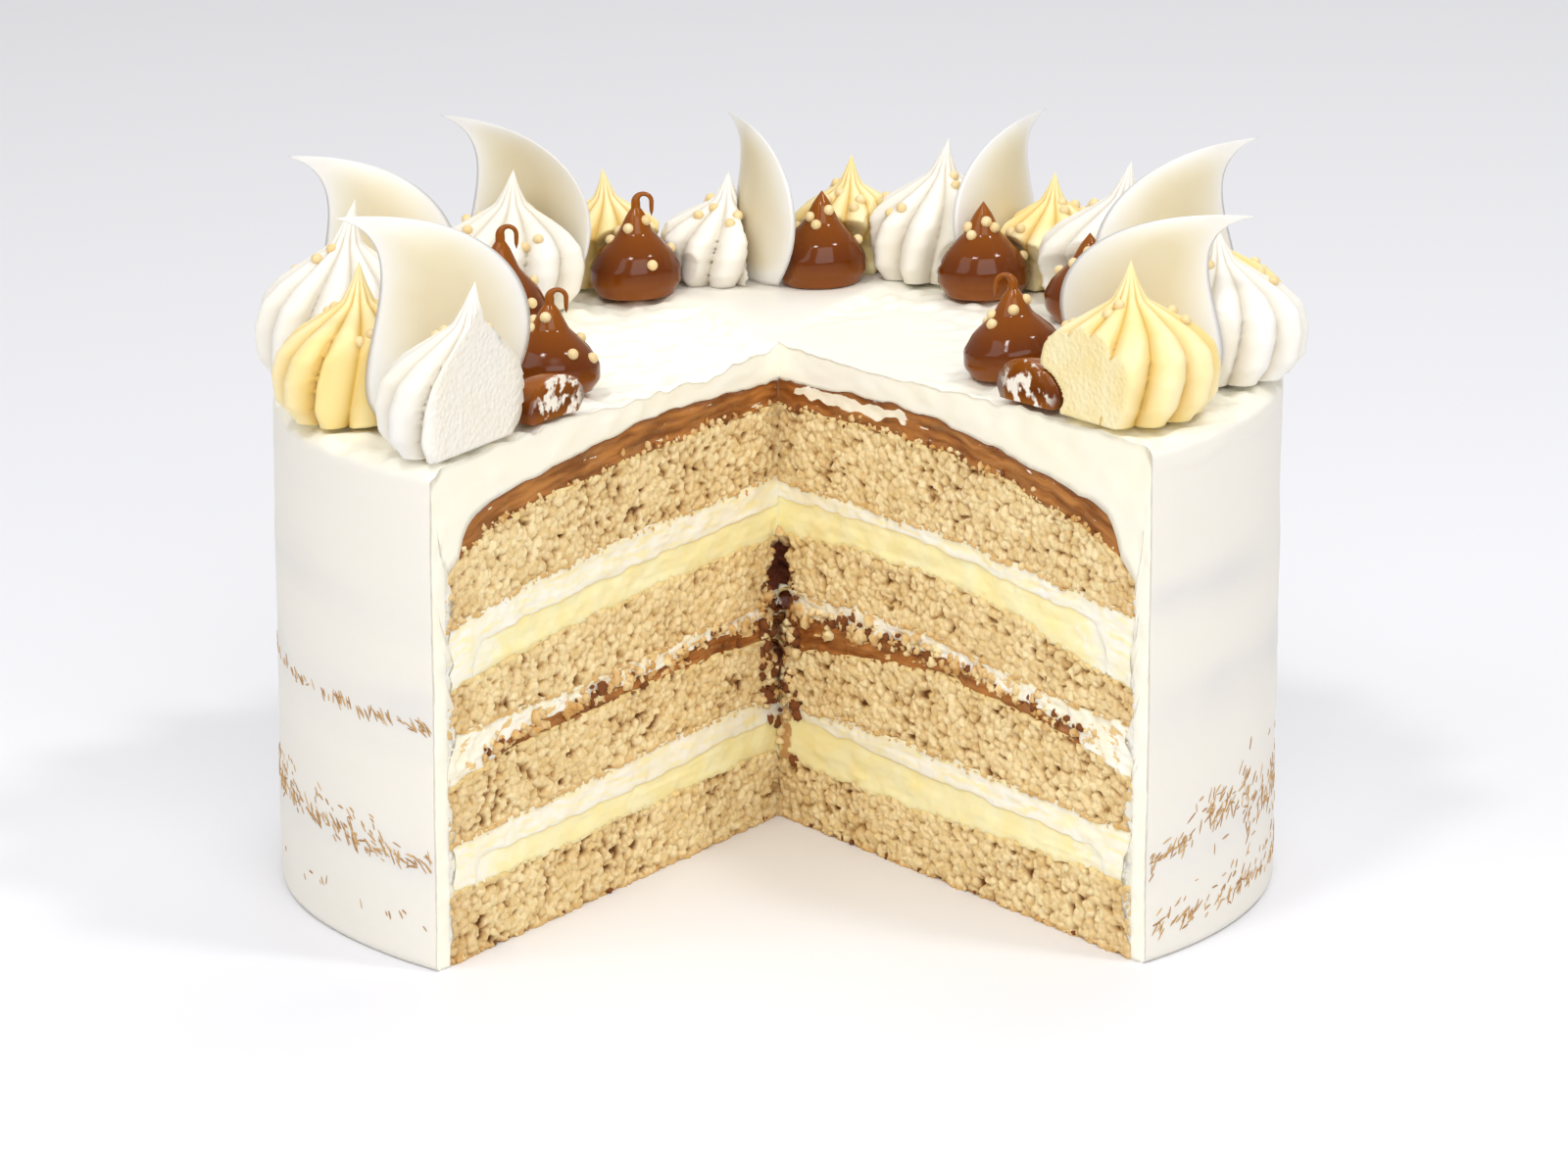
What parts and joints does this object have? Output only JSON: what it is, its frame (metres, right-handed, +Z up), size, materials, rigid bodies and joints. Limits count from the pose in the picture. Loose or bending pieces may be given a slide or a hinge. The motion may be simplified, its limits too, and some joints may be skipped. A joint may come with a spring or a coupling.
{
  "type": "layer cake",
  "caption": "Tall round layer cake with a wedge cut out, custard and caramel fillings, a thin icing coat, piped kisses and upright chocolate petals.",
  "frame": {"origin": "middle of the whole piece's box, on the flat underside that it rests on", "axes": "+Z up; the cut opens towards -Y; +X to the right of someone who looks into the cut"},
  "size_m": [0.2141, 0.1848, 0.1457],
  "materials": {
    "side_icing": "smooth spread icing, thin enough for crumbs to show through",
    "baked_sponge": "open crumb, dry and matte",
    "set_custard": "set custard, moist sheen",
    "butter_cream": "soft buttercream",
    "soft_caramel": "thick caramel, moist sheen",
    "whipped_white": "piped cream, satin",
    "whipped_yellow": "piped cream, satin, pale yellow",
    "glossy_caramel": "piped caramel, wet gloss",
    "white_chocolate": "moulded white chocolate, soft sheen"
  },
  "bodies": {
    "root": {"icing_coat": "side_icing", "sponge_1": "baked_sponge", "sponge_2": "baked_sponge", "sponge_3": "baked_sponge", "sponge_4": "baked_sponge", "custard_1": "set_custard", "custard_2": "set_custard", "cream_1": "butter_cream", "cream_2": "butter_cream", "cream_mid": "butter_cream", "caramel_mid": "soft_caramel", "caramel_top": "soft_caramel", "white_kiss_1": "whipped_white", "yellow_kiss_1": "whipped_yellow", "petal_1": "white_chocolate", "white_kiss_2": "whipped_white", "yellow_kiss_2": "whipped_yellow", "petal_2": "white_chocolate", "white_kiss_3": "whipped_white", "yellow_kiss_3": "whipped_yellow", "petal_3": "white_chocolate", "white_kiss_4": "whipped_white", "yellow_kiss_4": "whipped_yellow", "petal_4": "white_chocolate", "white_kiss_5": "whipped_white", "yellow_kiss_5": "whipped_yellow", "petal_5": "white_chocolate", "white_kiss_6": "whipped_white", "yellow_kiss_6": "whipped_yellow", "petal_6": "white_chocolate", "white_kiss_7": "whipped_white", "yellow_kiss_7": "whipped_yellow", "petal_7": "white_chocolate", "caramel_kiss_1": "glossy_caramel", "caramel_kiss_2": "glossy_caramel", "caramel_kiss_3": "glossy_caramel", "caramel_kiss_4": "glossy_caramel", "caramel_kiss_5": "glossy_caramel", "caramel_kiss_6": "glossy_caramel", "caramel_kiss_7": "glossy_caramel", "caramel_kiss_8": "glossy_caramel", "caramel_kiss_9": "glossy_caramel"}
  },
  "joints": []
}
